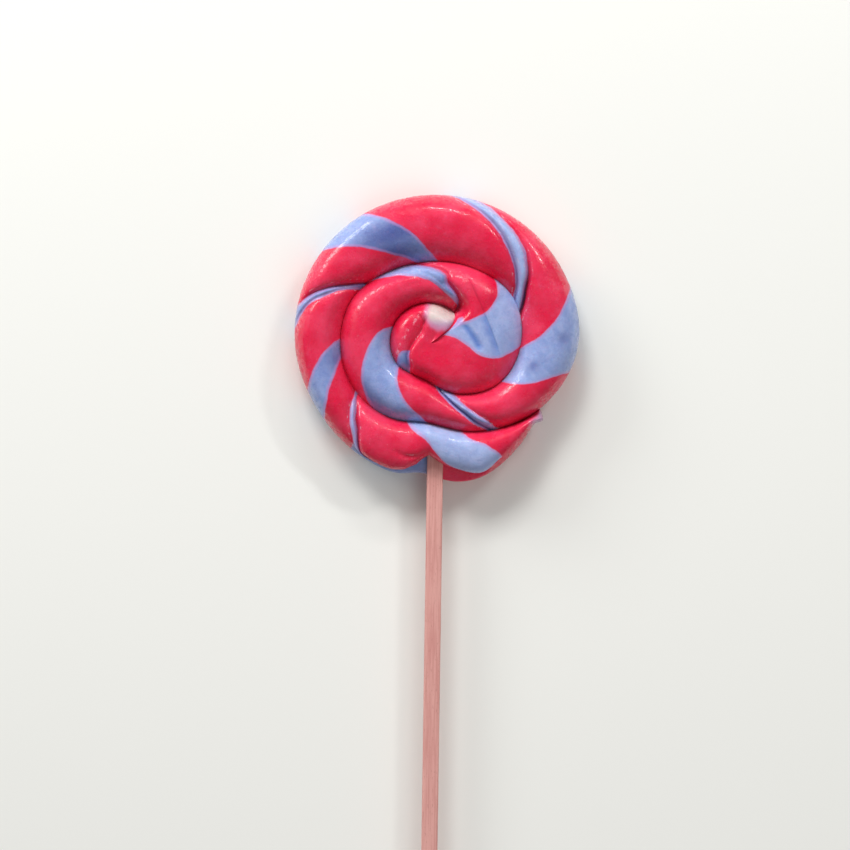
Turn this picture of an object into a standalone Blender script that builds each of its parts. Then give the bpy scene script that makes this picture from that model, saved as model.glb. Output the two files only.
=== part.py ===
"""Swirl lollipop lying on its back: a twisted rope of boiled sugar wound into a flat disc, on a wooden stick.

Metres, +Z up. The origin is the middle of the disc on the surface it lies on, and the stick runs along -Y.

The rope is described by its running angle, in degrees anticlockwise round the curl at its inner end: 30 at the
inner tip, 1050 at the outer tail. A wall line parts each turn from the next one out. The wall on a section's
inner side has that section's running angle, and the wall on its outer side is one turn further on. From 1050
the wall line is the free rim of the disc.
"""

import math

import bmesh
import bpy
import numpy as np

MM = 0.001
TURN = 360

# Rope and disc
CURL = (-1.6 * MM, -1.8 * MM)  # the point that the rope is wound round
TIP, TAIL = 30, 1050  # running angles of the rope's two ends
THICKNESS = 13.0 * MM
RIM_HEIGHT = 5.6 * MM  # where the rope is widest
WALL_SPACING = 30
WALL_RADII = (  # in mm, each 30 degrees: two turns between the coils, then the rim
    9.8, 10.2, 10.6, 10.8, 10.9, 10.7, 10.5, 9.5, 10.4, 15.3, 20.8, 23.7,
    24.8, 22.8, 21.6, 21.8, 23.7, 23.8, 23.5, 22.4, 21.1, 26.6, 33.6,
    38.9, 39.8, 39.8, 39.2, 38.4, 37.2, 35.9, 34.6, 35.0, 36.4, 36.6, 33.6,
)  # fmt: skip
CURL_OPENING = 20  # degrees in which the crease beside the inner tip reaches its full radius
ROUNDNESS = 2.3  # of the rope's arch: 2 is an ellipse, more is squarer

# Grooves between the turns
GROOVE_DEPTH = 3.8 * MM
CURL_DEPTH = 1.0 * MM  # how far the middle of the curl lies under the crests
HOLLOWS = ((418, 14, 2.2 * MM), (828, 26, 0.9 * MM))  # running angle, reach in degrees, extra depth
BACK_GROOVE = 2.0 * MM
BACK_FLAT_TO = 450  # the back of the curl is pressed flat up to this running angle
PRESSED = 0.5 * MM  # how much of the arch the flat back cuts off
TIP_ROUNDING, TAIL_ROUNDING = 26, 24  # degrees
GROOVE_RUNOUT = 22  # degrees in which the groove sinks to the rim at the tail

# Helical seam of the twisted rope: running angles where it leaves the inner wall and reaches the outer one
SEAM = ((416, 466), (644, 667), (745, 797), (861, 890), (934, 966))
SEAM_DEPTH, BACK_SEAM_DEPTH = 1.5 * MM, 0.7 * MM
SEAM_REACH, BACK_SEAM_REACH = 1.5 * MM, 2.5 * MM

# Fold of sugar pressed over the stick: it ends in a lip, and the layer under it shows as a shelf
LIP = (  # running angle, and the share of the rope's width that lies inside the lip there
    (954, 0.95), (964, 0.84), (973, 0.90), (980, 0.85), (985, 0.72),
    (990, 0.56), (997, 0.68), (1005, 0.79), (1012, 0.88), (1022, 0.97),
)  # fmt: skip
FOLD_FADE = 10
LIP_HEIGHT = 9.6 * MM
LIP_UNDERCUT = 0.6 * MM
SHELF_HEIGHT = 6.8 * MM

# Stick
STICK_SIDE = 4.3 * MM
STICK_LENGTH = 150 * MM
STICK_END = -14.0 * MM  # Y of the end inside the disc
STICK_HEIGHT = 6.0 * MM  # of its middle
STICK_EASING = 0.4 * MM
GAP = 0.3 * MM

# Colours, linear
CANDY_COLOUR = (0.75, 0.04, 0.10)
WOOD_COLOUR = (0.66, 0.33, 0.28)

# Mesh
ROW = 5  # degrees along the rope
FRONT_LEAN = 30  # degrees that a row of faces leans along the twist from the inner wall to the outer one
LEAN_END = 965  # the running angle from which rows stand straight across the rope
FRONT_COLUMNS, BACK_COLUMNS = 12, 8
LIP_COLUMN = 9  # the column of the front that runs along the lip
SHARP = math.radians(40)
WELD = 0.001 * MM


def clear_scene():
    for found in list(bpy.data.objects):
        bpy.data.objects.remove(found)


def smooth(x):
    """0 below 0, 1 above 1, and an S between."""
    x = np.clip(x, 0, 1)
    return x * x * (3 - 2 * x)


def dome(x):
    """A quarter circle's rise, from 0 at 0 to 1 at 1."""
    return np.sqrt(1 - (1 - np.clip(x, 0, 1)) ** 2)


def blend(a, b, share):
    return a + (b - a) * share


def through(values, spacing, x):
    """A smooth curve through evenly spaced values, which starts at x = 0."""
    v = np.array([2 * values[0] - values[1], *values, 2 * values[-1] - values[-2]])
    i = np.clip(np.floor(x / spacing).astype(int), 0, len(values) - 2)
    f = x / spacing - i
    before, a, b, after = v[i], v[i + 1], v[i + 2], v[i + 3]
    curve = 2 * before - 5 * a + 4 * b - after + f * (3 * (a - b) + after - before)
    return a + 0.5 * f * (b - before + f * curve)


def wall_radius(wall):
    """Distance from the curl to the wall line."""
    radius = through(WALL_RADII, WALL_SPACING, np.maximum(wall - TIP - TURN, 0)) * MM
    return radius * smooth((wall - TIP - TURN) / CURL_OPENING)


def front_wall_height(wall):
    depth = GROOVE_DEPTH + sum(d * np.exp(-(((wall - a) / reach) ** 2)) for a, reach, d in HOLLOWS)
    depth = blend(CURL_DEPTH, depth, smooth((wall - TIP - TURN) / CURL_OPENING))
    return blend(THICKNESS - depth, RIM_HEIGHT, smooth((wall - TAIL + GROOVE_RUNOUT) / GROOVE_RUNOUT))


def back_wall_height(wall):
    height = BACK_GROOVE * smooth((wall - BACK_FLAT_TO) / CURL_OPENING)
    return blend(height, RIM_HEIGHT, smooth((wall - TAIL + GROOVE_RUNOUT) / GROOVE_RUNOUT))


def end_rounding(angle):
    return dome((angle - TIP) / TIP_ROUNDING) * dome((TAIL - angle) / TAIL_ROUNDING)


def arch(across):
    """Height of the rope's section, 0 at its walls and 1 in the middle. across runs from -1 to 1."""
    return np.sqrt(np.clip(1 - np.abs(across) ** ROUNDNESS, 0, 1))


def crease(stretches, reach, angle, share, radius):
    """1 on the seam and 0 away from it. A stretch has its running angles at the inner and the outer wall."""
    total = 0
    width = np.maximum(wall_radius(angle + TURN) - wall_radius(angle), WELD)
    for inner, outer in stretches:
        along = np.radians(angle - blend(inner, outer, share)) * radius
        slant = np.radians(outer - inner) * radius / width
        total = total + np.exp(-((along / np.hypot(1, slant) / reach) ** 2))
    return total


def front_section(angle, turn):
    """(radius, height) of the rope's front. turn runs from -90 at the inner wall to 90 at the outer one."""
    inner, outer = wall_radius(angle), wall_radius(angle + TURN)
    across = np.sin(np.radians(turn))
    share = (1 + across) / 2
    low = blend(front_wall_height(angle), front_wall_height(angle + TURN), share)
    crest = blend(low, THICKNESS, end_rounding(angle))
    radius = blend(inner, outer, share)
    rise = arch(across)
    sink = SEAM_DEPTH * crease(SEAM, SEAM_REACH, angle, share, radius) * rise * end_rounding(angle)
    return radius, np.maximum(blend(low, crest, rise) - sink, low)


def fold_section(angle, turn, lip_turn, foot_turn):
    """(radius, height) of the rope's front where the fold's lip stands over the shelf."""
    inner, outer = wall_radius(angle), wall_radius(angle + TURN)
    lip = blend(inner, outer, np.interp(angle, *zip(*LIP)))
    across = np.sin(np.radians(np.clip(180 * (turn + 90) / (lip_turn + 90) - 90, -90, 90)))
    share = (1 + across) / 2
    edge = blend(front_wall_height(angle), LIP_HEIGHT, share)
    over = blend(inner, lip, share), blend(edge, THICKNESS, arch(across))
    fall = np.radians(90 * np.clip((turn - foot_turn) / (90 - foot_turn), 0, 1))
    under = blend(lip - LIP_UNDERCUT, outer, np.sin(fall)), blend(RIM_HEIGHT, SHELF_HEIGHT, np.cos(fall))
    return [np.where(turn <= lip_turn, a, b) for a, b in zip(over, under)]


def back_section(angle, turn):
    """(radius, height) of the rope's back. turn runs from 90 at the outer wall to 270 at the inner one."""
    across = np.sin(np.radians(turn))
    share = (1 + across) / 2
    radius = blend(wall_radius(angle), wall_radius(angle + TURN), share)
    high = blend(back_wall_height(angle), back_wall_height(angle + TURN), share)
    fullness = arch(across) * end_rounding(angle)
    behind = [(after[0], before[1]) for before, after in zip(SEAM, SEAM[1:])]
    sink = BACK_SEAM_DEPTH * crease(behind, BACK_SEAM_REACH, angle, share, radius) * fullness
    return radius, np.minimum(np.maximum(blend(high, -PRESSED, fullness), 0) + sink, high)


def leaning_rows(turn, lean):
    """Running angles of a grid whose rows start at the inner wall and lean along the twist."""
    rows = np.arange(TIP - lean, TAIL + ROW, ROW)[:, None]
    share = (1 + np.sin(np.radians(turn))) / 2
    return np.clip(rows + np.clip(LEAN_END - rows, 0, lean) * share, TIP, TAIL)


def add_sheet(bm, angle, radius, height):
    """A grid of faces between the points at these running angles, radii and heights."""
    x = CURL[0] + radius * np.cos(np.radians(angle))
    y = CURL[1] + radius * np.sin(np.radians(angle))
    rows = [[bm.verts.new(p) for p in zip(*line)] for line in zip(x, y, height)]
    for row, after in zip(rows, rows[1:]):
        for corners in zip(row, row[1:], after[1:], after):
            bm.faces.new(corners)


def rope_mesh():
    bm = bmesh.new()
    turn = np.linspace(-90, 90, FRONT_COLUMNS + 1)[None, :]
    angle = leaning_rows(turn, FRONT_LEAN)
    folded = smooth((angle - LIP[0][0]) / FOLD_FADE) * smooth((LIP[-1][0] - angle) / FOLD_FADE)
    plain = front_section(angle, turn)
    fold = fold_section(angle, turn, turn[0, LIP_COLUMN], turn[0, LIP_COLUMN + 1])
    add_sheet(bm, angle, *(blend(a, b, folded) for a, b in zip(plain, fold)))
    turn = np.linspace(90, 270, BACK_COLUMNS + 1)[None, :]
    angle = leaning_rows(turn, 0)
    add_sheet(bm, angle, *back_section(angle, turn))
    bmesh.ops.remove_doubles(bm, verts=bm.verts, dist=WELD)
    bmesh.ops.recalc_face_normals(bm, faces=bm.faces)
    mesh = bpy.data.meshes.new("swirl_candy")
    bm.to_mesh(mesh)
    bm.free()
    mesh.shade_smooth()
    mesh.set_sharp_from_angle(angle=SHARP)
    return mesh


def material(name, colour, roughness):
    made = bpy.data.materials.new(name)
    made.use_nodes = True
    shader = made.node_tree.nodes["Principled BSDF"]
    shader.inputs["Base Color"].default_value = (*colour, 1)
    shader.inputs["Roughness"].default_value = roughness
    shader.inputs["Metallic"].default_value = 0
    return made


def add_object(name, mesh, finish):
    made = bpy.data.objects.new(name, mesh)
    bpy.context.scene.collection.objects.link(made)
    if finish:
        mesh.materials.append(finish)
    return made


def square_bar(name, side, length):
    """A bar along -Y from the origin, square in section."""
    bm = bmesh.new()
    bmesh.ops.create_cube(bm, size=1)
    bmesh.ops.scale(bm, vec=(side, length, side), verts=bm.verts)
    bmesh.ops.translate(bm, vec=(0, -length / 2, 0), verts=bm.verts)
    mesh = bpy.data.meshes.new(name)
    bm.to_mesh(mesh)
    bm.free()
    return mesh


def make_stick():
    wood = material("birch", WOOD_COLOUR, 0.6)
    stick = add_object("stick", square_bar("stick", STICK_SIDE, STICK_LENGTH), wood)
    stick.location = (0, STICK_END, STICK_HEIGHT)
    easing = stick.modifiers.new("Eased edges", "BEVEL")
    easing.width = STICK_EASING
    easing.segments = 2


def make_candy():
    candy = add_object("swirl_candy", rope_mesh(), material("boiled_sugar", CANDY_COLOUR, 0.15))
    slot = add_object("stick_hole", square_bar("stick_hole", STICK_SIDE + 2 * GAP, STICK_LENGTH), None)
    slot.location = (0, STICK_END + GAP, STICK_HEIGHT)
    slot.hide_render = True
    slot.display_type = "WIRE"
    cut = candy.modifiers.new("Stick hole", "BOOLEAN")
    cut.operation = "DIFFERENCE"
    cut.object = slot


clear_scene()
make_candy()
make_stick()
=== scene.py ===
"""Swirl lollipop: the looks of the rolled sugar rope and its stick, with a studio round them.

Metres, +Z up. The disc lies on its back with its middle over the origin, and the stick runs along -Y.

The rope is described by its running angle, in degrees anticlockwise round the curl at its inner end: 30 at the
inner tip, 1050 at the outer tail. A wall line parts each turn from the next one out. The wall on a section's
inner side has that section's running angle, and the wall on its outer side is one turn further on. From 1050
the wall line is the free rim of the disc. A place on the rope's front is its running angle and its share of the
way from the inner wall to the outer one.
"""

import math

import bpy
import numpy as np
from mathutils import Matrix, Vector, noise


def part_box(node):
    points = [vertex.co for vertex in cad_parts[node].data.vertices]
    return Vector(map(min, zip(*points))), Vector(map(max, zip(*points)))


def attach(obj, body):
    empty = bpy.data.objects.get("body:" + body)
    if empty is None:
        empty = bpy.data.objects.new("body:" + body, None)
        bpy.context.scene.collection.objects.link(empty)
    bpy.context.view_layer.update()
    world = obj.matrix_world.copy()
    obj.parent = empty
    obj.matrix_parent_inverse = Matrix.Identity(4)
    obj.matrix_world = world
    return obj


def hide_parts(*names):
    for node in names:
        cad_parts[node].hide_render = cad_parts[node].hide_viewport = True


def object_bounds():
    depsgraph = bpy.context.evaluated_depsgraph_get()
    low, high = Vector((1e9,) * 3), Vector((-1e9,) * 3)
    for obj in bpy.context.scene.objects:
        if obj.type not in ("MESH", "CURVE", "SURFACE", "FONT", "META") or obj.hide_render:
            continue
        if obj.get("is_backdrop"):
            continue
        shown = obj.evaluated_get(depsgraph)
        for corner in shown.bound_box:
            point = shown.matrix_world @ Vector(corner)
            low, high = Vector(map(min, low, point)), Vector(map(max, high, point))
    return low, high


bl_info = {
    "name": "Swirl Lollipop",
    "version": (1, 0, 0),
    "blender": (4, 5, 0),
    "location": "View3D > Sidebar > Lollipop",
    "description": "Rolled sugar rope, wooden stick and studio for a swirl lollipop",
    "category": "Object",
}

MM = 0.001
TURN = 360

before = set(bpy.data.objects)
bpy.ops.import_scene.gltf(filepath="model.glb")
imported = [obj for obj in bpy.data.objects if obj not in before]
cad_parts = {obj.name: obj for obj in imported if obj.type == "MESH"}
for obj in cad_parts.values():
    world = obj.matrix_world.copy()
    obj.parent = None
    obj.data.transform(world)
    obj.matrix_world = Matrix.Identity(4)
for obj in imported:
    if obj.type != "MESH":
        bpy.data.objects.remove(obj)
CAD_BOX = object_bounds()
CANDY_LOW, CANDY_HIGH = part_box("swirl_candy")
STICK_LOW, STICK_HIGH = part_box("stick")


# ---------------------------------------------------------------------------------------------- rope's shape

CURL = (-1.6 * MM, -1.8 * MM)  # the point that the rope is wound round
TIP, TAIL = 30, 1050  # running angles of the rope's two ends
THICKNESS = 12.9 * MM
RIM_HEIGHT = 5.6 * MM  # where the rope is widest
WALL_SPACING = 30
WALL_RADII = (  # in mm, each 30 degrees: two turns between the coils, then the rim
    9.8, 10.2, 10.6, 10.8, 10.9, 10.7, 10.5, 9.5, 10.4, 15.3, 20.8, 23.7,
    24.8, 22.8, 21.6, 21.8, 23.7, 23.8, 23.5, 22.4, 21.1, 26.6, 33.6,
    38.9, 39.8, 39.8, 39.2, 38.4, 37.2, 35.9, 34.6, 35.0, 36.4, 36.6, 33.6,
)  # fmt: skip
CREASE_START, CREASE_OPENING = 393, 28  # where the crease beside the inner tip starts, and how soon it is full
RIM_SWELLINGS = ((1347, 9, -2.1 * MM), (1370, 12, 0.9 * MM), (1406.5, 2.4, 1.9 * MM))  # wall's running angle, reach in degrees, rise

GROOVE_DEPTH = 4.6 * MM
CURL_DEPTH = 0.4 * MM  # how far the middle of the curl lies under the crests
HOLLOWS = ((424, 20, 2.2 * MM), (828, 30, 0.8 * MM))  # running angle, reach in degrees, extra depth
PITS = ((52, 11.8 * MM, 2.0 * MM, 3.4 * MM),)  # direction and distance from the curl, reach and depth
BACK_GROOVE = 2.0 * MM
BACK_FLAT_TO = 450  # the back of the curl is pressed flat up to this running angle
PRESSED = 0.5 * MM  # how much of the arch the flat back cuts off
TIP_ROUNDING, TAIL_ROUNDING = 26, 24  # degrees
TWIST_LEAN, LEAN_END = 30, 964.5  # how far the front's rows of faces lean, and where that ends: both whole rows
FULL_WIDTH = 1.5 * MM  # from this width on, the rope's ends have their full height
GROOVE_RUNOUT = 22  # degrees in which the groove sinks to the rim at the tail
ROUNDNESS = 2.4  # of the rope's arch: more is squarer
STEEPNESS, RIM_STEEPNESS = 0.78, 0.5  # powers that shape the arch's fall to a groove and to the rim

# Fold of sugar pressed over the stick: running angle, and the share of the rope's width inside its lip there
LIP = (
    (950, 0.99), (958, 0.97), (966, 0.955), (973, 0.95), (979, 0.92), (984, 0.83), (987, 0.71),
    (990, 0.62), (996, 0.70), (1004, 0.78), (1011, 0.90), (1022, 0.98),
)  # fmt: skip
FOLD_FADE = 10
LIP_HEIGHT = 9.6 * MM
LIP_UNDERCUT = 0.6 * MM
SHELF_HEIGHT = 6.8 * MM
LIP_TURN, FOOT_TURN = 45, 60  # where the lip and the foot below it come on the way round the rope

# Creases along the rope: running angles at the ends, then shares at even steps between, depth, and reach on the
# side of the inner wall and on the side of the outer one
FOLDS = (
    (95, 240, (0.64, 0.40, 0.36, 0.45, 0.68, 0.95), 1.5 * MM, 0.6 * MM, 1.8 * MM),
    (968, 992, (0.36, 0.42, 0.50, 0.58, 0.66), 0.6 * MM, 0.4 * MM, 0.6 * MM),
)  # fmt: skip

# Blue stripes: running angles of their starts and ends at 5 even shares of the rope's width, and how milky they are
STRIPES = (
    ((425, 375, 350, 347, 359), (406, 400, 391, 392, 406), 0.8),
    ((517, 529, 549, 567, 587), (577, 589, 603, 617, 629), 0.35),
    ((692, 695, 699, 705, 709), (718, 723, 729, 736, 743), 0.5),
    ((806, 815, 822, 830, 838), (821, 836, 845, 853, 861), 0.35),
    ((898, 903, 909, 915, 922), (910, 919, 925, 931, 937), 0.3),
    ((974, 986, 992, 1000, 1015), (1010, 1018, 1021, 1023, 1022), 1.0),
    ((260, 240, 205, 197, 211), (180, 190, 198, 224, 236), 0.0),
    ((412, 417, 434, 441, 466), (385, 431, 450, 471, 494), 0.4),
    ((635, 645, 653, 658, 664), (655, 659, 663, 667, 669), 0.2),
    ((739, 750, 758, 770, 791), (750, 759, 771, 785, 803), 0.9),
    ((858, 866, 872, 878, 885), (864, 870, 877, 883, 895), 0.3),
    ((933, 938, 943, 950, 961), (935, 942, 948, 957, 976), 0.8),
)  # fmt: skip
WIDE, NARROW = STRIPES[:6], STRIPES[7:]
SHELF_BLUE = (953, 992)  # where the shelf under the fold is blue
SHELF_RUNOUT = ((970, 970, 969, 963, 953), (970, 970, 971, 977, 992), 0.3)  # the same blue where it ends on the back
BACK_SWELL = (0, 1.6, 2.2, 1.6, 0)  # degrees by which each edge of a stripe bows outwards on the back
TAIL_PATCH = (1048.5, 1.0, 4.5, 0.5, 1.5)  # pale sugar at the outer end: place, reaches and strength
# Places where the blue is darker, partly deeper sugar and partly painted shade: running angle and share of the width,
# the reach in each, and how dark
DEEP_AND_SHADE = (
    (838, 0.12, 24, 0.42, 1.0), (828, 0.52, 28, 0.26, 0.8),
    (572, 0.90, 30, 0.20, 0.6), (912, 0.10, 12, 0.45, 0.5),
    (723, 0.70, 2.5, 0.10, 0.5), (708, 0.32, 4, 0.12, 0.5), (434, 0.5, 16, 0.25, 0.5),
)  # fmt: skip

# Creases across the rope, beside and in the narrow stripes: the stripe, how far from its start to its end the
# crease lies, and the crease's depths at the rope's inner and outer wall in mm
CREASES = (
    (0, -0.05, 1.6, 1.2), (0, 0.55, 0.0, 0.5),
    (1, 0.30, 1.8, 1.6), (1, 1.05, 0.3, 0.3),
    (2, 0.00, 2.6, 0.4), (2, 0.86, 1.6, 1.1),
    (3, 0.00, 2.0, 0.9), (3, 0.75, 0.5, 1.3),
    (4, 0.00, 0.4, 0.5), (4, 1.02, 1.1, 1.8),
)  # fmt: skip
CREASE_REACH = 0.5 * MM
CREASE_BOTTOM = 0.25 * MM  # how round a crease is at its bottom
TROUGH_DEPTH, TROUGH_REACH = 0.9 * MM, 3.0 * MM  # the wide dip that each narrow stripe lies in
ROLL_HEIGHT = 0.9 * MM  # how far a narrow stripe bulges out of its dip

# Fine folds in the skin, in mm from the middle of the disc: both ends, how far the line bows to its right, depth,
# and how wide it is on its left and on its right
SKIN_FOLDS = (
    ((7.3, 16.2), (17.0, -6.0), -0.5, 0.45, 0.5, 2.5),
    ((6.7, 3.6), (11.6, -3.7), -0.3, 0.30, 1.5, 1.3),
    ((-5.1, 5.9), (-3.6, 2.5), -0.4, 0.30, 0.25, 0.25),
)
LEAST_FOLD = 1.0  # mm that a fold's side takes at least in the mesh; the skin's relief draws the sharp line
FOLD_RELIEF = 0.35  # share of a fold's depth that is relief


TIP_PATCH = (2.9 * MM, 7.8 * MM)  # middle of the pale inner end, from the curl
TIP_PATCH_REACH, TIP_PATCH_FADE = 6.0 * MM, 5.0 * MM


def smooth(x):
    """0 below 0, 1 above 1, and an S between."""
    x = np.clip(x, 0, 1)
    return x * x * (3 - 2 * x)


def dome(x):
    """A quarter circle's rise, from 0 at 0 to 1 at 1."""
    return np.sqrt(1 - (1 - np.clip(x, 0, 1)) ** 2)


def blend(a, b, share):
    return a + (b - a) * share


def through(values, spacing, x):
    """A smooth curve through evenly spaced values, which starts at x = 0."""
    v = np.array([2 * values[0] - values[1], *values, 2 * values[-1] - values[-2]])
    i = np.clip(np.floor(x / spacing).astype(int), 0, len(values) - 2)
    f = x / spacing - i
    before, a, b, after = v[i], v[i + 1], v[i + 2], v[i + 3]
    curve = 2 * before - 5 * a + 4 * b - after + f * (3 * (a - b) + after - before)
    return a + 0.5 * f * (b - before + f * curve)


def opening(wall):
    """How far the crease beside the inner tip has opened: 0 at its start and 1 from its full radius on."""
    return 1 - (1 - np.clip((wall - CREASE_START) / CREASE_OPENING, 0, 1)) ** 3.4


def wall_radius(wall):
    """Distance from the curl to the wall line."""
    radius = through(WALL_RADII, WALL_SPACING, np.maximum(wall - TIP - TURN, 0)) * MM
    radius = radius + sum(rise * np.exp(-(((wall - a) / reach) ** 2)) for a, reach, rise in RIM_SWELLINGS)
    return radius * opening(wall)


def front_wall_height(wall):
    depth = GROOVE_DEPTH + sum(d * np.exp(-(((wall - a) / reach) ** 2)) for a, reach, d in HOLLOWS)
    depth = blend(CURL_DEPTH, depth, smooth((wall - CREASE_START - 2) / CREASE_OPENING))
    return blend(THICKNESS - depth, RIM_HEIGHT, smooth((wall - TAIL + GROOVE_RUNOUT) / GROOVE_RUNOUT))


def back_wall_height(wall):
    height = BACK_GROOVE * smooth((wall - BACK_FLAT_TO) / 20)
    return blend(height, RIM_HEIGHT, smooth((wall - TAIL + GROOVE_RUNOUT) / GROOVE_RUNOUT))


def end_rounding(angle):
    return dome((angle - TIP) / TIP_ROUNDING) * dome((TAIL - angle) / TAIL_ROUNDING)


def arch(across, outer_wall=TAIL):
    """Height of the rope's section, 0 at its walls and 1 in the middle. across runs from -1 to 1."""
    at_rim = np.where(across > 0, smooth((outer_wall - TAIL + GROOVE_RUNOUT) / GROOVE_RUNOUT), 0)
    fall = np.clip(1 - np.abs(across) ** ROUNDNESS, 0, 1)
    return fall ** blend(STEEPNESS, RIM_STEEPNESS, at_rim)


class Place:
    """Grid points on the rope: running angle, share of the width, radius and the rope's width there."""

    def __init__(self, angle, turn):
        self.angle = angle
        self.turn = turn
        self.inner = wall_radius(angle)
        self.outer = np.where(angle < TAIL, wall_radius(angle + TURN), self.inner)
        self.across = np.sin(np.radians(turn))
        self.share = (1 + self.across) / 2 + 0 * angle
        self.radius = blend(self.inner, self.outer, self.share)
        self.width = np.maximum(self.outer - self.inner, 0.2 * MM)
        self.rounding = end_rounding(angle) * smooth((self.outer - self.inner) / FULL_WIDTH)

    def past(self, line):
        """Signed distance past a line across the rope, given as running angles at even shares."""
        step = 1 / (len(line) - 1)
        at = through(line, step, self.share)
        slope = (through(line, step, self.share + 0.01) - through(line, step, self.share - 0.01)) / 0.02
        along = np.radians(self.angle - at) * np.maximum(self.radius, 5 * MM)
        return along / np.hypot(1, np.radians(slope) * self.radius / self.width)

    def beside(self, first, last, line):
        """Signed distance outside a line along the rope, and how much of the line is there."""
        spacing = (last - first) / (len(line) - 1)
        at = through(line, spacing, np.clip(self.angle - first, 0, last - first))
        fade = smooth((self.angle - first) / 12) * smooth((last - self.angle) / 12)
        return (self.share - at) * self.width, fade

    def blob(self, angle, share, angle_reach, share_reach, strength):
        """A soft spot on the rope, strength in its middle."""
        return strength * np.exp(-(((self.angle - angle) / angle_reach) ** 2) - ((self.share - share) / share_reach) ** 2)

    def in_stripes(self, stripes):
        """Signed distance inside each stripe's edges."""
        return np.array([np.minimum(self.past(start), -self.past(end)) for start, end, _ in stripes])


def crease(away, inner_reach, outer_reach):
    """1 in the middle of a crease, and less with the distance from it."""
    reach = np.where(away < 0, inner_reach, outer_reach)
    return np.exp((CREASE_BOTTOM - np.hypot(away, CREASE_BOTTOM)) / reach)


def creases(place):
    """How deep the creases are, without the wide troughs."""
    sink = 0 * place.radius
    for stripe, across, inner, outer in CREASES:
        line = [blend(*ends, across) for ends in zip(*NARROW[stripe][:2])]
        sink = sink + blend(inner, outer, place.share) * MM * crease(place.past(line), CREASE_REACH, CREASE_REACH)
    for first, last, line, depth, inner_reach, outer_reach in FOLDS:
        away, there = place.beside(first, last, line)
        sink = sink + depth * there * crease(away, inner_reach, outer_reach)
    return sink


def troughs(place):
    sink = 0 * place.radius
    for start, end, _ in NARROW:
        middle = [(a + b) / 2 for a, b in zip(start, end)]
        sink = sink + TROUGH_DEPTH * np.exp(-((place.past(middle) / TROUGH_REACH) ** 2))
        inside = np.stack([place.past(start), -place.past(end)]).clip(0)
        width = np.maximum(inside.sum(axis=0), 0.1 * MM)
        sink = sink - ROLL_HEIGHT * 4 * inside.prod(axis=0) / width**2 * smooth(width / (3 * MM))
    for direction, distance, reach, depth in PITS:
        away = np.hypot(
            place.radius * np.cos(np.radians(place.angle - direction)) - distance,
            place.radius * np.sin(np.radians(place.angle - direction)),
        )
        sink = sink + depth * np.exp(-((away / reach) ** 2))
    return sink


def fold_line(x, y, start, end, bow):
    """How far along a fine fold a place lies, from 0 to 1, and its distance to the fold's right, in mm."""
    length = math.dist(start, end)
    ahead = ((end[0] - start[0]) / length, (end[1] - start[1]) / length)
    along = ((x - start[0]) * ahead[0] + (y - start[1]) * ahead[1]) / length
    aside = (x - start[0]) * ahead[1] - (y - start[1]) * ahead[0] - along * (1 - along) * (4 * bow)
    return along, aside


def fine_folds(place):
    """How deep the fine folds are."""
    x = CURL[0] / MM + place.radius / MM * np.cos(np.radians(place.angle))
    y = CURL[1] / MM + place.radius / MM * np.sin(np.radians(place.angle))
    sink = 0 * place.radius
    for start, end, bow, depth, left, right in SKIN_FOLDS:
        along, aside = fold_line(x, y, start, end, bow)
        there = smooth((along + 0.05) / 0.25) * smooth((1.05 - along) / 0.25)
        sides = smooth(1 - aside / max(right, LEAST_FOLD)) * smooth(1 + aside / max(left, LEAST_FOLD))
        sink = sink + depth * MM * there * sides
    return sink


def front_height(place):
    low = blend(front_wall_height(place.angle), front_wall_height(place.angle + TURN), place.share)
    crest = blend(low, THICKNESS, place.rounding)
    rise = arch(place.across, place.angle + TURN)
    height = blend(low, crest, rise) - (creases(place) + fine_folds(place)) * rise**0.5 * place.rounding
    return np.maximum(height - troughs(place) * rise**0.4 * place.rounding, low - 2 * MM)


def fold_section(place):
    """(radius, height) of the rope's front where the fold's lip stands over the shelf."""
    lip = blend(place.inner, place.outer, np.interp(place.angle, *zip(*LIP)))
    across = np.sin(np.radians(np.clip(180 * (place.turn + 90) / (LIP_TURN + 90) - 90, -90, 90)))
    share = (1 + across) / 2
    edge = blend(front_wall_height(place.angle), LIP_HEIGHT, share)
    cut = creases(place) * smooth(share / 0.1)
    over = blend(place.inner, lip, share), blend(edge, THICKNESS, arch(across)) - cut
    fall = np.radians(90 * np.clip((place.turn - FOOT_TURN) / (90 - FOOT_TURN), 0, 1))
    foot = lip - LIP_UNDERCUT
    under = blend(foot, place.outer, np.sin(fall)), blend(RIM_HEIGHT, SHELF_HEIGHT, np.cos(fall))
    down = np.clip((place.turn - LIP_TURN) / (FOOT_TURN - LIP_TURN), 0, 1)
    side = blend(lip, foot, smooth(down)), blend(LIP_HEIGHT, SHELF_HEIGHT, down)
    between = (place.turn > LIP_TURN) & (place.turn < FOOT_TURN)
    found = [np.where(place.turn <= LIP_TURN, a, b) for a, b in zip(over, under)]
    return [np.where(between, a, b) for a, b in zip(side, found)]


def back_height(place):
    high = blend(back_wall_height(place.angle), back_wall_height(place.angle + TURN), place.share)
    fullness = arch(place.across) * place.rounding
    return np.minimum(np.maximum(blend(high, -PRESSED, fullness), 0), high)


def leaning_rows(turn, spacing, lean):
    """Running angles of a grid whose rows start at the inner wall and lean along the twist."""
    rows = np.arange(TIP - lean, TAIL + spacing, spacing)[:, None]
    share = (1 + np.sin(np.radians(turn))) / 2
    return np.clip(rows + np.clip(LEAN_END - rows, 0, lean) * share, TIP, TAIL)


def behind(stripes):
    """The stretches of stripes on the back, each from one front stretch's outer end to the next one's inner."""
    for stripe, following in zip(stripes, stripes[1:]):
        start, end = (np.linspace(after[0], before[-1], 5) for before, after in zip(stripe[:2], following[:2]))
        yield start - BACK_SWELL, end + BACK_SWELL, 0


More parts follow.
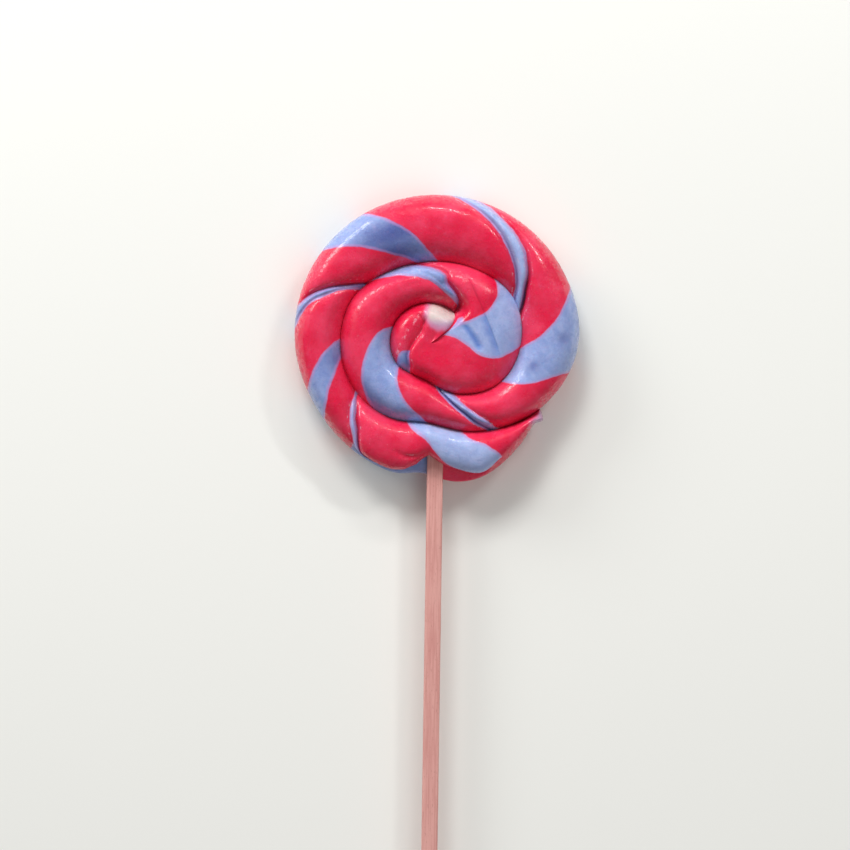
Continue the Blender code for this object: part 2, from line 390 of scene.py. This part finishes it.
def tip_patch(angle, radius):
    """1 where the rope's pale inner end shows, and 0 elsewhere."""
    x = radius * np.cos(np.radians(angle)) - TIP_PATCH[0]
    y = radius * np.sin(np.radians(angle)) - TIP_PATCH[1]
    return smooth((TIP_PATCH_REACH - np.hypot(x, y)) / TIP_PATCH_FADE) * (angle < 200)


def surface(spacing, front_columns, back_columns):
    """Grids of points and of their values for the rope's front and back."""
    turn = np.linspace(-90, 90, front_columns + 1)[None, :]
    angle = leaning_rows(turn, spacing, TWIST_LEAN)
    place = Place(angle, turn + 0 * angle)
    folded = smooth((angle - LIP[0][0]) / FOLD_FADE) * smooth((LIP[-1][0] - angle) / FOLD_FADE)
    radius, height = (
        blend(a, b, folded) for a, b in zip((place.radius, front_height(place)), fold_section(place))
    )
    shelf = (place.turn > LIP_TURN) & (angle > SHELF_BLUE[0]) & (angle < LIP[-1][0] + 6)
    shelf_blue = np.minimum(SHELF_BLUE[1] - angle, angle - SHELF_BLUE[0]) * 0.6 * MM
    yield angle, radius, height, {
        "blue": np.where(shelf, shelf_blue, place.in_stripes(STRIPES).max(axis=0)),
        "milk": np.array([milk for _, _, milk in STRIPES])[place.in_stripes(STRIPES).argmax(axis=0)],
        # On the shelf under the lip, a fixed 0.25 is painted shadow from the lip
        "deep": np.where(shelf, 0.25, np.max([place.blob(*blob) for blob in DEEP_AND_SHADE], axis=0)),
        "tip": tip_patch(angle, radius) + place.blob(*TAIL_PATCH),
        "sunk": np.where(shelf, 0, creases(place)),
    }
    turn = np.linspace(90, 270, back_columns + 1)[None, :]
    angle = leaning_rows(turn, spacing, 0)
    place = Place(angle, turn + 0 * angle)
    blue = place.in_stripes([*behind(WIDE), *behind(NARROW), SHELF_RUNOUT]).max(axis=0)
    plain = 0 * blue
    yield angle, place.radius, back_height(place), {
        "blue": blue, "milk": plain + 0.3, "deep": plain, "tip": place.blob(*TAIL_PATCH), "sunk": plain
    }  # fmt: skip


def rope_mesh(spacing, front_columns, back_columns):
    points, faces, values = [], [], {}
    start = 0
    for angle, radius, height, found in surface(spacing, front_columns, back_columns):
        x = CURL[0] + radius * np.cos(np.radians(angle))
        y = CURL[1] + radius * np.sin(np.radians(angle))
        points.append(np.stack([x, y, height], axis=-1).reshape(-1, 3))
        index = start + np.arange(x.size).reshape(x.shape)
        corners = [index[:-1, :-1], index[:-1, 1:], index[1:, 1:], index[1:, :-1]]
        faces.append(np.stack(corners, axis=-1).reshape(-1, 4))
        for name, value in found.items():
            values.setdefault(name, []).append(value.reshape(-1))
        start += x.size
    return np.concatenate(points), np.concatenate(faces), {k: np.concatenate(v) for k, v in values.items()}


def welded(points, faces, values):
    """The same surface with points in one place joined, and faces that have shrunk to a line left out."""
    keys = np.round(points / (0.001 * MM)).astype(np.int64)
    _, kept, joined = np.unique(keys, axis=0, return_index=True, return_inverse=True)
    faces = joined.reshape(-1)[faces]
    found = []
    for face in faces.tolist():
        corners = [c for i, c in enumerate(face) if c != face[i - 1]]
        if len(set(corners)) >= 3 and len(set(corners)) == len(corners):
            found.append(corners)
    return points[kept], found, {name: value[kept] for name, value in values.items()}


# ------------------------------------------------------------------------------------------------- materials


class Value:
    """A socket whose arithmetic adds Math nodes."""

    def __init__(self, finish, socket):
        self.finish = finish
        self.socket = socket

    def math(self, operation, *others, clamp=False):
        inputs = dict(enumerate((self, *others)))
        return self.finish.node("ShaderNodeMath", {"operation": operation, "use_clamp": clamp}, inputs)

    def __add__(self, other):
        return self.math("ADD", other)

    __radd__ = __add__

    def __mul__(self, other):
        return self.math("MULTIPLY", other)

    __rmul__ = __mul__

    def __sub__(self, other):
        return self.math("SUBTRACT", other)

    def __rsub__(self, other):
        return (self * -1).math("ADD", other)

    def __truediv__(self, other):
        return self.math("DIVIDE", other)

    def step(self, low, high):
        """0 up to low, 1 from high, and an S between."""
        settings = {"interpolation_type": "SMOOTHSTEP"}
        return self.finish.node("ShaderNodeMapRange", settings, {0: self, 1: low, 2: high})


class Finish:
    """A material's node tree, and the short ways to add to it."""

    def __init__(self, name):
        self.material = bpy.data.materials.new(name)
        self.material.use_nodes = True
        self.tree = self.material.node_tree
        self.shader = self.tree.nodes["Principled BSDF"]

    def node(self, kind, settings=None, inputs=None, out=0):
        made = self.tree.nodes.new(kind)
        for key, value in (settings or {}).items():
            setattr(made, key, value)
        for key, value in (inputs or {}).items():
            self.feed(made.inputs[key], value)
        return Value(self, made.outputs[out])

    def feed(self, socket, value):
        if isinstance(value, Value):
            self.tree.links.new(value.socket, socket)
        else:
            socket.default_value = value

    def set(self, **sockets):
        for name, value in sockets.items():
            self.feed(self.shader.inputs[name.replace("_", " ")], value)

    def attribute(self, name):
        return self.node("ShaderNodeAttribute", {"attribute_name": name}, out="Fac")

    def place(self, stretch=(1, 1, 1), turn=(0, 0, 0)):
        """Object coordinates in millimetres, stretched."""
        where = self.node("ShaderNodeTexCoord", out="Object")
        scale = tuple(1000 * s for s in stretch)
        return self.node("ShaderNodeMapping", {}, {"Vector": where, "Scale": scale, "Rotation": turn})

    def noise(self, vector, size, detail=3, roughness=0.5, distortion=0.0):
        """Soft noise from 0 to 1 with features of about size in millimetres."""
        inputs = {"Vector": vector, "Scale": 1 / size, "Detail": detail, "Roughness": roughness}
        return self.node("ShaderNodeTexNoise", {}, {**inputs, "Distortion": distortion}, out="Fac")

    def spots(self, vector, size, randomness=1.0):
        """Distance to the nearest of scattered points, which lie about size in millimetres apart."""
        inputs = {"Vector": vector, "Scale": 1 / size, "Randomness": randomness}
        return self.node("ShaderNodeTexVoronoi", {}, inputs, out="Distance")

    def mix(self, share, a, b):
        colours = [(*c, 1) if isinstance(c, tuple) and len(c) == 3 else c for c in (a, b)]
        return self.node("ShaderNodeMix", {"data_type": "RGBA"}, {0: share, 6: colours[0], 7: colours[1]}, out=2)

    def bump(self, height, depth, normal=None):
        """Relief from a height of 0 to 1 that stands for depth in millimetres."""
        inputs = {"Height": height, "Strength": 1.0, "Distance": depth * MM}
        if normal:
            inputs["Normal"] = normal
        return self.node("ShaderNodeBump", {}, inputs)


def linear(colour):
    """A Blender colour property's own value, as a plain tuple."""
    return tuple(colour)[:3]


def skin_folds(finish, where):
    """Marks from 0 to 1 of the fine folds, each with its depth in mm."""
    x, y, z = (finish.node("ShaderNodeSeparateXYZ", {}, {0: where}, out=axis) for axis in "XYZ")
    for start, end, bow, depth, left, right in SKIN_FOLDS:
        along, aside = fold_line(x, y, start, end, bow)
        there = along.step(-0.05, 0.2) * (1 - along.step(0.8, 1.05)) * z.step(6, 8)
        yield (1 - aside.step(0, right)) * (1 - (aside * -1).step(0, left)) * there, depth * FOLD_RELIEF


def sugar_finish(look):
    finish = Finish("boiled_sugar")
    where = finish.place()
    blue = finish.attribute("blue") * 1000
    # The deep attribute marks deeper blue sugar and painted shade alike
    deep = finish.attribute("deep")
    sunk = finish.attribute("sunk") * 1000
    edge = blue + (finish.noise(where, 3.0, 4) - 0.5) * 0.7
    in_blue = edge.step(-0.2, 0.25)
    patches = finish.noise(where, 11.0, 4, 0.55).step(0.38, 0.66)
    red = finish.mix(patches, linear(look.red), linear(look.red_light))
    cloud = finish.noise(where, 2.6, 6, 0.62, 0.6)
    milk = (finish.attribute("milk") * 0.7 + cloud.step(0.3, 0.72) * 0.5 - 0.1).math("MAXIMUM", 0, clamp=True)
    blues = finish.mix(milk, linear(look.blue), linear(look.blue_light))
    folds = list(skin_folds(finish, where))
    # Painted shade in the blue, partly deeper blue sugar: darker at the listed spots and along the creases' bottoms
    dark = deep + sunk.step(0.5, 1.9) * 0.8
    blues = finish.mix(dark.math("MINIMUM", 1), blues, linear(look.deep_blue_and_shade))
    # Painted shade: the blue darkens along the fine folds
    clear = (folds[0][0] * 0.6 + folds[1][0] * 0.75).math("MINIMUM", 1)
    blues = finish.mix(clear, blues, linear(look.blue_fold_shade))
    fringe = edge.step(-0.1, 0.3) * (1 - edge.step(0.25, 0.95))
    blues = finish.mix(fringe * 0.55, blues, linear(look.blend_colour))
    colour = finish.mix(in_blue, red, blues)
    tip = finish.attribute("tip") + (finish.noise(where, 2.0) - 0.5) * 0.25
    colour = finish.mix(tip.step(0, 0.3) * 0.7, colour, linear(look.tip_edge))
    height = finish.node("ShaderNodeSeparateXYZ", {}, {0: where}, out="Y")
    pale = finish.mix(height.step(2.6, 5.2), linear(look.tip_shade), linear(look.tip_colour))
    colour = finish.mix(tip.step(0.12, 0.7), colour, pale)
    # Painted shade: the bottoms of the creases darken to a near-black red and blue
    crease_shade_colour = finish.mix(in_blue, linear(look.crease_shade_red), linear(look.crease_shade_blue))
    colour = finish.mix(sunk.step(0.9, 2.2) * 0.85, colour, crease_shade_colour)
    # Painted highlight: whitish glints in patches along the creases' shoulders
    shoulder = sunk.step(0.18, 0.3) * (1 - sunk.step(0.34, 0.48))
    painted_glints = shoulder * finish.noise(where, 1.3, 4, 0.7).step(0.52, 0.64)
    colour = finish.mix(painted_glints * 0.35, colour, linear(look.painted_glints))
    # Pale pink specks: partly sugar specks, partly painted glints on tiny pits
    specks_and_glints = 1 - finish.spots(where, 1.1).step(0.04, 0.11)
    colour = finish.mix(specks_and_glints * finish.noise(where, 5.0).step(0.45, 0.6) * 0.3, colour, (0.85, 0.5, 0.6))
    dots = (1 - finish.spots(finish.place(turn=(0.5, 0.4, 0.3)), 0.9).step(0.06, 0.14)) * in_blue
    colour = finish.mix(dots * finish.noise(where, 4.0).step(0.5, 0.62) * 0.5, colour, linear(look.deep_blue_and_shade))
    finish.set(Base_Color=colour)
    grain = finish.noise(where, 0.55, 3, 0.6)
    worn = finish.noise(where, 3.4, 4, 0.6).step(0.35, 0.65)
    finish.set(Roughness=look.roughness + worn * 0.22)
    dents = finish.bump(finish.noise(where, 2.4, 3), 0.12)
    pits = finish.bump(finish.spots(where, 1.1).step(0.04, 0.14), 0.05, dents)
    for mark, depth in folds:
        pits = finish.bump(1 - mark, depth, pits)
    finish.set(Normal=finish.bump(grain, 0.07, pits), IOR=1.5, Specular_IOR_Level=0.4)
    finish.set(Subsurface_Weight=look.glow, Subsurface_Scale=0.6 * MM, Subsurface_Radius=(1.0, 0.35, 0.35))
    finish.set(Coat_Weight=finish.noise(where, 1.1, 5, 0.65).step(0.43, 0.57) * 0.75, Coat_Roughness=0.1)
    return finish.material


def wood_finish(look):
    finish = Finish("plain_birch")
    along = finish.place((1, 0.04, 1))
    grain = finish.noise(along, 0.5, 5, 0.6)
    streaks = finish.noise(along, 0.18, 3)
    colour = finish.mix(grain.step(0.35, 0.65), linear(look.wood), linear(look.wood_light))
    dots = 1 - finish.noise(finish.place((1, 0.35, 1)), 0.4, 3).step(0.3, 0.4)
    finish.set(Base_Color=finish.mix(dots * 0.4, colour, linear(look.wood_dark)))
    finish.set(Roughness=0.62, Normal=finish.bump(streaks, 0.05))
    return finish.material


# ---------------------------------------------------------------------------------------------------- pieces


def add_mesh(name, points, faces, finish):
    mesh = bpy.data.meshes.new(name)
    mesh.from_pydata(points, [], faces)
    mesh.materials.append(finish)
    mesh.shade_smooth()
    made = bpy.data.objects.new(name, mesh)
    bpy.context.scene.collection.objects.link(made)
    return made


def build_candy(look):
    points, faces, values = welded(*rope_mesh(look.row_spacing, look.front_columns, look.back_columns))
    unevenness = look.unevenness
    for i, p in enumerate(points):
        lift = noise.noise(Vector(p) / (5 * MM)) * smooth((p[2] - 2 * MM) / (4 * MM))
        points[i] = (p[0], p[1], p[2] + unevenness * lift)
    points[:, 2] = np.clip(points[:, 2], CANDY_LOW[2], CANDY_HIGH[2])
    made = add_mesh("sugar_swirl", points, faces, sugar_finish(look))
    for name, value in values.items():
        layer = made.data.attributes.new(name, "FLOAT", "POINT")
        layer.data.foreach_set("value", value.astype(np.float32))
    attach(made, "root")
    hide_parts("swirl_candy")
    return made


def build_stick(look):
    """A sawn square stick with eased edges, a little uneven."""
    side = STICK_HIGH[0] - STICK_LOW[0]
    length = STICK_HIGH[1] - STICK_LOW[1]
    steps = 150
    ring = []
    for corner in range(4):
        for part in range(5):
            turn = math.radians(90 * corner + 90 * part / 4)
            middle = math.radians(90 * corner + 45)
            inset = side / 2 - look.easing
            reach = inset * math.sqrt(2)
            ring.append((
                reach * math.cos(middle) + look.easing * math.cos(turn),
                reach * math.sin(middle) + look.easing * math.sin(turn),
            ))  # fmt: skip
    points, faces = [], []
    centre = (STICK_LOW[2] + STICK_HIGH[2]) / 2
    for i in range(steps + 1):
        y = STICK_LOW[1] + length * i / steps
        end = min(i, steps - i)
        shrink = 1 - (0.04, 0.012, 0)[min(end, 2)]
        for x, z in ring:
            wobble = 0.03 * MM * noise.noise(Vector((x / (2 * MM), y / (9 * MM), z / (2 * MM))))
            points.append(((x + wobble) * shrink * 0.99, y, centre + (z + wobble) * shrink * 0.99))
    n = len(ring)
    for i in range(steps):
        for j in range(n):
            k = (j + 1) % n
            faces.append((i * n + j, (i + 1) * n + j, (i + 1) * n + k, i * n + k))
    faces.append(tuple(range(n)))
    faces.append(tuple(range(steps * n + n - 1, steps * n - 1, -1)))
    made = add_mesh("wooden_stick", points, faces, wood_finish(look))
    made.data.set_sharp_from_angle(angle=math.radians(50))
    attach(made, "root")
    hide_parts("stick")
    return made


# ----------------------------------------------------------------------------------------------------- stage


def add_floor(look):
    finish = Finish("studio_floor")
    finish.set(Base_Color=(*linear(look.floor), 1), Roughness=0.9, Specular_IOR_Level=0.1)
    made = add_mesh("studio_floor", [(x, y, 0) for x, y in ((-3, -3), (3, -3), (3, 3), (-3, 3))], [(0, 1, 2, 3)], finish.material)
    made.location.z = CAD_BOX[0][2] - 0.02 * MM
    made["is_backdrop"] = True


def add_softbox(name, direction, distance, size, watts, glints=True):
    light = bpy.data.lights.new(name, "AREA")
    light.shape = "RECTANGLE"
    light.size, light.size_y = size
    light.energy = watts
    made = bpy.data.objects.new(name, light)
    made.location = Vector(direction).normalized() * distance
    made.rotation_euler = Vector(direction).to_track_quat("Z", "Y").to_euler()
    made.visible_glossy = glints
    bpy.context.scene.collection.objects.link(made)


def add_camera(look):
    """Straight above, turned a little so that the stick leans."""
    camera = bpy.data.cameras.new("camera")
    camera.lens = 200
    camera.sensor_width = 36
    camera.clip_end = 10
    made = bpy.data.objects.new("camera", camera)
    view = look.view_width
    distance = view * camera.lens / camera.sensor_width
    lean = look.lean
    right = Vector((math.cos(lean), math.sin(lean), 0))
    up = Vector((-math.sin(lean), math.cos(lean), 0))
    made.location = -right * look.aside - up * look.above + Vector((0, 0, RIM_HEIGHT + distance))
    made.rotation_euler = (0, 0, lean)
    bpy.context.scene.collection.objects.link(made)
    bpy.context.scene.camera = made


# ----------------------------------------------------------------------------------------------------- add-on


def colour_property(name, description, default):
    return bpy.props.FloatVectorProperty(
        name=name, description=description, subtype="COLOR", size=3, min=0, max=1, default=default
    )


class SugarLook(bpy.types.PropertyGroup):
    red: colour_property("Red", "Colour of the red sugar", (0.70, 0.010, 0.055))
    red_light: colour_property("Light red", "Red sugar where it is milky", (0.78, 0.038, 0.105))
    blue: colour_property("Blue", "Colour of the blue sugar", (0.20, 0.28, 0.58))
    blue_light: colour_property("Light blue", "Blue sugar where it is milky", (0.38, 0.46, 0.74))
    # Painted shade along the fine folds in the blue
    blue_fold_shade: colour_property("Clear blue", "Blue sugar in the fine folds", (0.07, 0.17, 0.52))
    # Deep blue for the bubbles and deeper sugar, and for the painted shade in the blue
    deep_blue_and_shade: colour_property("Deep blue", "Blue sugar where it is clear", (0.038, 0.055, 0.25))
    blend_colour: colour_property("Blend", "Where blue sugar meets red", (0.52, 0.24, 0.52))
    tip_edge: colour_property("Tip's edge", "Where the pale inner tip meets the red", (0.62, 0.25, 0.46))
    tip_shade: colour_property("Tip's underside", "The pale inner tip where it turns lavender", (0.50, 0.31, 0.46))
    # Painted highlight: colour of the whitish glints along the creases' shoulders
    painted_glints: colour_property("Frost", "Sugar worn white along the creases", (0.82, 0.66, 0.78))
    # Painted shade at the bottom of the creases, in red and in blue sugar
    crease_shade_red: colour_property("Red crease", "Bottom of the creases in red sugar", (0.20, 0.004, 0.02))
    crease_shade_blue: colour_property("Blue crease", "Bottom of the creases in blue sugar", (0.04, 0.04, 0.16))
    tip_colour: colour_property("Tip", "Colour of the pale inner tip", (0.64, 0.52, 0.50))
    roughness: bpy.props.FloatProperty(name="Roughness", description="Least roughness", default=0.22, min=0, max=1)
    glow: bpy.props.FloatProperty(
        name="Glow", description="How much light goes through the sugar", default=0.2, min=0, max=1
    )
    unevenness: bpy.props.FloatProperty(
        name="Unevenness", description="Height of the dents", default=0.15 * MM, unit="LENGTH"
    )
    row_spacing: bpy.props.FloatProperty(name="Row spacing", description="Degrees between rows of faces", default=0.75)
    front_columns: bpy.props.IntProperty(name="Front columns", description="Faces across the front", default=54)
    back_columns: bpy.props.IntProperty(name="Back columns", description="Faces across the back", default=14)


class StickLook(bpy.types.PropertyGroup):
    wood: colour_property("Wood", "Colour of the wood", (0.62, 0.28, 0.25))
    wood_light: colour_property("Light wood", "Wood between the darker grain", (0.72, 0.37, 0.33))
    wood_dark: colour_property("Dark wood", "Flecks in the wood", (0.45, 0.2, 0.17))
    easing: bpy.props.FloatProperty(
        name="Easing", description="Radius of the stick's long edges", default=0.4 * MM, unit="LENGTH"
    )


class StudioLook(bpy.types.PropertyGroup):
    floor: colour_property("Floor", "Colour of the floor", (0.86, 0.86, 0.82))
    view_width: bpy.props.FloatProperty(
        name="View width", description="Width of what the camera sees", default=0.2242, unit="LENGTH"
    )
    aside: bpy.props.FloatProperty(
        name="Aside", description="The disc's place right of the middle", default=0.00314, unit="LENGTH"
    )
    above: bpy.props.FloatProperty(
        name="Above", description="The disc's place above the middle", default=0.0233, unit="LENGTH"
    )
    lean: bpy.props.FloatProperty(
        name="Lean", description="How far the camera is turned", default=math.radians(0.84), subtype="ANGLE"
    )


class LOLLIPOP_OT_candy(bpy.types.Operator):
    """Build the rolled sugar rope"""

    bl_idname = "lollipop.candy"
    bl_label = "Sugar Swirl"

    def execute(self, context):
        build_candy(context.scene.sugar_look)
        return {"FINISHED"}


class LOLLIPOP_OT_stick(bpy.types.Operator):
    """Build the wooden stick"""

    bl_idname = "lollipop.stick"
    bl_label = "Wooden Stick"

    def execute(self, context):
        build_stick(context.scene.stick_look)
        return {"FINISHED"}


class LOLLIPOP_OT_stage(bpy.types.Operator):
    """Set up the floor, the lights and the camera"""

    bl_idname = "lollipop.stage"
    bl_label = "Studio"

    def execute(self, context):
        look = context.scene.studio_look
        add_floor(look)
        add_softbox("key_light", (-0.3, 0.9, 0.72), 1.2, (0.4, 0.3), 8.5, glints=False)
        add_softbox("fill_light", (0.7, -0.6, 1.3), 1.2, (0.9, 0.9), 2.8, glints=False)
        add_softbox("left_glint", (-0.85, 0.8, 0.46), 1.0, (0.55, 0.3), 4.7)
        add_softbox("top_glint", (0.1, 1.0, 0.6), 1.0, (0.35, 0.07), 1.8)
        add_softbox("right_glint", (0.65, 0.8, 0.75), 1.0, (0.2, 0.05), 1.8)
        world = bpy.data.worlds.new("studio")
        world.use_nodes = True
        world.node_tree.nodes["Background"].inputs["Color"].default_value = (1, 1, 1, 1)
        world.node_tree.nodes["Background"].inputs["Strength"].default_value = 0.22
        context.scene.world = world
        context.scene.view_settings.view_transform = "Standard"
        add_camera(look)
        return {"FINISHED"}


class LOLLIPOP_PT_sidebar(bpy.types.Panel):
    bl_idname = "LOLLIPOP_PT_sidebar"
    bl_label = "Lollipop"
    bl_space_type = "VIEW_3D"
    bl_region_type = "UI"
    bl_category = "Lollipop"

    def draw(self, context):
        for operator in OPERATORS:
            self.layout.operator(operator.bl_idname)
        for look in LOOKS:
            settings = getattr(context.scene, look)
            for name in settings.__annotations__:
                self.layout.prop(settings, name)


LOOKS = {"sugar_look": SugarLook, "stick_look": StickLook, "studio_look": StudioLook}
OPERATORS = (LOLLIPOP_OT_candy, LOLLIPOP_OT_stick, LOLLIPOP_OT_stage)
CLASSES = (*LOOKS.values(), *OPERATORS, LOLLIPOP_PT_sidebar)


def register():
    for cls in CLASSES:
        bpy.utils.register_class(cls)
    for name, cls in LOOKS.items():
        setattr(bpy.types.Scene, name, bpy.props.PointerProperty(type=cls))


def unregister():
    for name in LOOKS:
        delattr(bpy.types.Scene, name)
    for cls in reversed(CLASSES):
        bpy.utils.unregister_class(cls)


def main():
    register()
    bpy.ops.lollipop.candy()
    bpy.ops.lollipop.stick()
    bpy.ops.lollipop.stage()
    boxes = {"cad": CAD_BOX, "visual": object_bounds()}
    {name: [list(corner) for corner in box] for name, box in boxes.items()}


if __name__ == "__main__":
    main()
